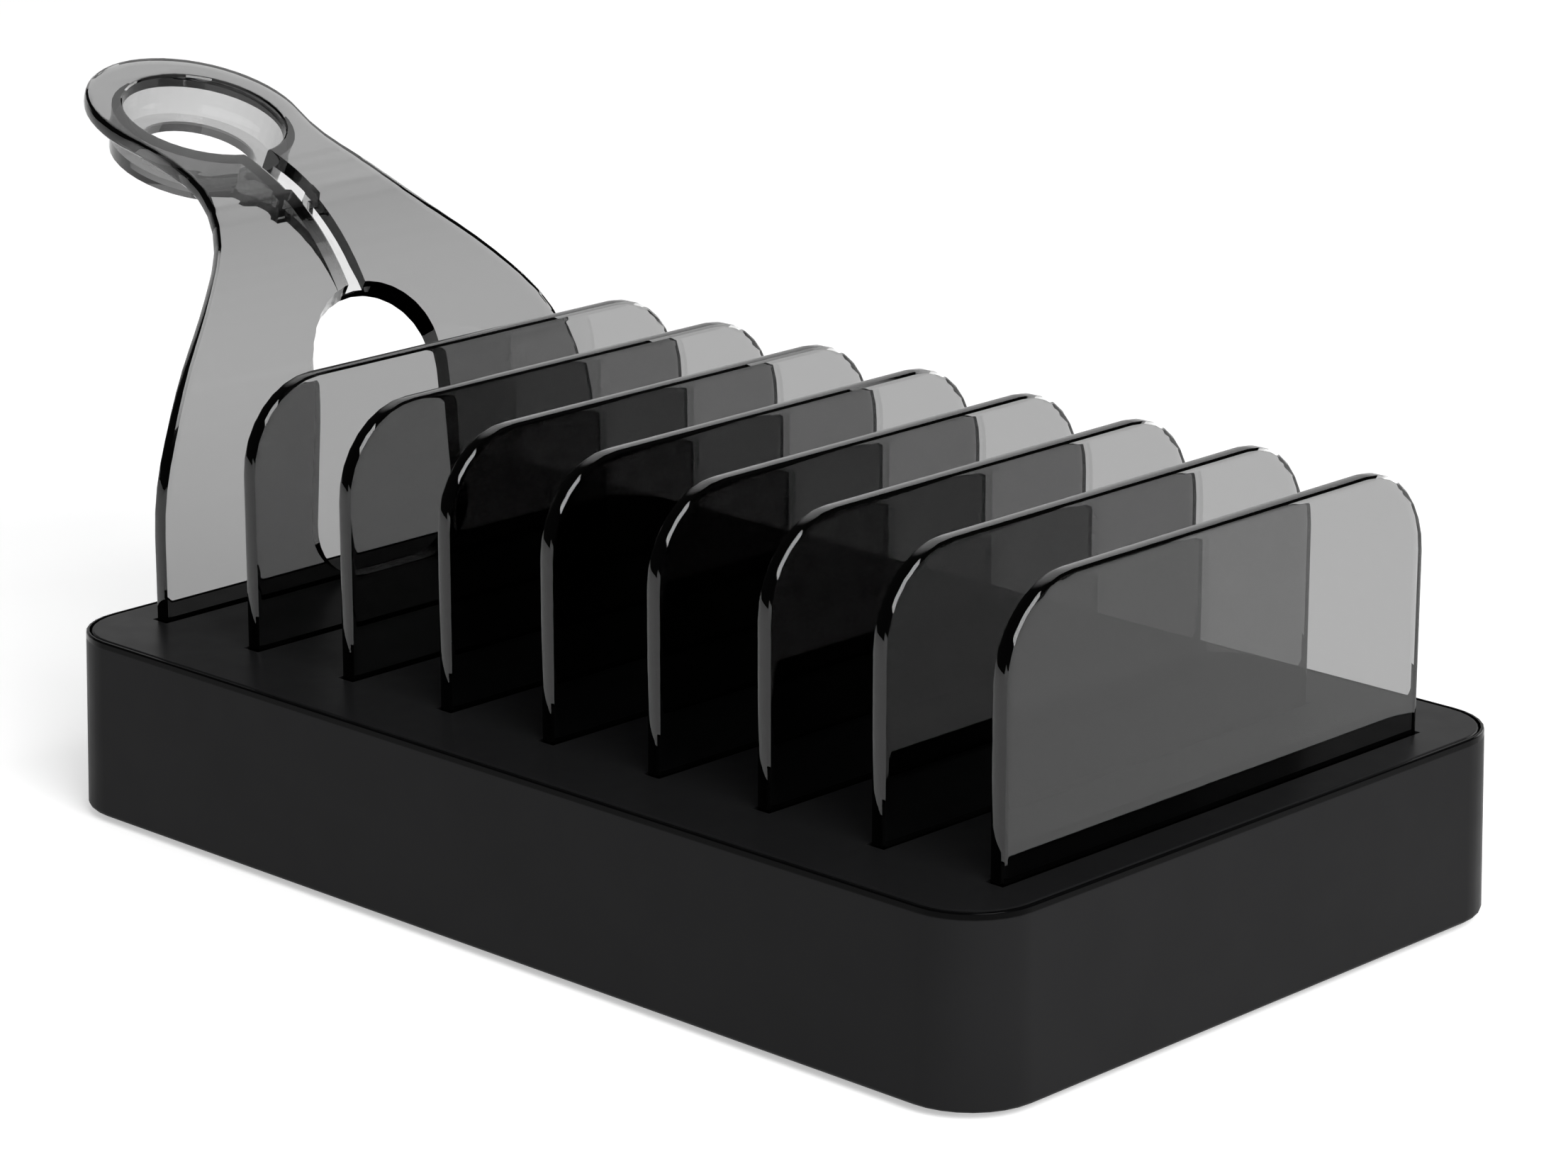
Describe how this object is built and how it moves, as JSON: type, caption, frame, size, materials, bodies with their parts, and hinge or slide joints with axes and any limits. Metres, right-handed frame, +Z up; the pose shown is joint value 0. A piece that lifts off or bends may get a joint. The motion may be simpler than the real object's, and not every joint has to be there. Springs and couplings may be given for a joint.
{
  "type": "usb charging station",
  "caption": "Desktop charging dock: a long black base with USB sockets along one side, clear upright dividers that stand phones and tablets, and a bent clear arm that holds a watch puck.",
  "frame": {"origin": "middle of the whole length and width, on the plane that the feet stand on; the base's own middle lies 24.6 mm further along +X, because the watch holder overhangs the -X end", "axes": "+X along the row of dividers, away from the watch holder; +Y towards the side with the USB sockets; +Z up"},
  "size_m": [0.24, 0.118, 0.1024],
  "materials": {
    "housing_plastic": "fine satin moulded black",
    "top_plastic": "satin moulded black",
    "smoked_clear": "polished, see-through smoked grey",
    "foot_rubber": "matt",
    "steel": "plated",
    "white_plastic": "plain moulded",
    "board": "lacquered circuit board",
    "ferrite": "sintered",
    "coil": "taped winding",
    "can": "sleeved can"
  },
  "bodies": {
    "base": {"housing_shell": "housing_plastic", "top_plate": "top_plastic", "bottom_cover": "housing_plastic", "foot_1": "foot_rubber", "foot_2": "foot_rubber", "foot_3": "foot_rubber", "foot_4": "foot_rubber", "screw_1": "steel", "screw_2": "steel", "screw_3": "steel", "screw_4": "steel", "main_board": "board", "usb_port_1": "steel", "usb_port_2": "steel", "usb_port_3": "steel", "usb_port_4": "steel", "usb_port_5": "steel", "usb_port_6": "steel", "usb_port_7": "steel", "usb_tongue_1": "white_plastic", "usb_tongue_2": "white_plastic", "usb_tongue_3": "white_plastic", "usb_tongue_4": "white_plastic", "usb_tongue_5": "white_plastic", "usb_tongue_6": "white_plastic", "usb_tongue_7": "white_plastic", "ac_inlet": "housing_plastic", "ac_pin_1": "steel", "ac_pin_2": "steel", "transformer_core": "ferrite", "transformer_coil": "coil", "capacitor_1": "can", "capacitor_2": "can"},
    "divider_1": {"divider_1": "smoked_clear"},
    "divider_2": {"divider_2": "smoked_clear"},
    "divider_3": {"divider_3": "smoked_clear"},
    "divider_4": {"divider_4": "smoked_clear"},
    "divider_5": {"divider_5": "smoked_clear"},
    "divider_6": {"divider_6": "smoked_clear"},
    "divider_7": {"divider_7": "smoked_clear"},
    "divider_8": {"divider_8": "smoked_clear"},
    "watch_holder": {"watch_holder": "smoked_clear"}
  },
  "joints": [
    {"name": "divider_1_lift", "type": "slide", "parent": "base", "child": "divider_1", "axis": [0, 0, 1], "range_m": [0, 0.012]},
    {"name": "divider_2_lift", "type": "slide", "parent": "base", "child": "divider_2", "axis": [0, 0, 1], "range_m": [0, 0.012]},
    {"name": "divider_3_lift", "type": "slide", "parent": "base", "child": "divider_3", "axis": [0, 0, 1], "range_m": [0, 0.012]},
    {"name": "divider_4_lift", "type": "slide", "parent": "base", "child": "divider_4", "axis": [0, 0, 1], "range_m": [0, 0.012]},
    {"name": "divider_5_lift", "type": "slide", "parent": "base", "child": "divider_5", "axis": [0, 0, 1], "range_m": [0, 0.012]},
    {"name": "divider_6_lift", "type": "slide", "parent": "base", "child": "divider_6", "axis": [0, 0, 1], "range_m": [0, 0.012]},
    {"name": "divider_7_lift", "type": "slide", "parent": "base", "child": "divider_7", "axis": [0, 0, 1], "range_m": [0, 0.012]},
    {"name": "divider_8_lift", "type": "slide", "parent": "base", "child": "divider_8", "axis": [0, 0, 1], "range_m": [0, 0.012]},
    {"name": "watch_holder_lift", "type": "slide", "parent": "base", "child": "watch_holder", "axis": [0, 0, 1], "range_m": [0, 0.012]}
  ]
}
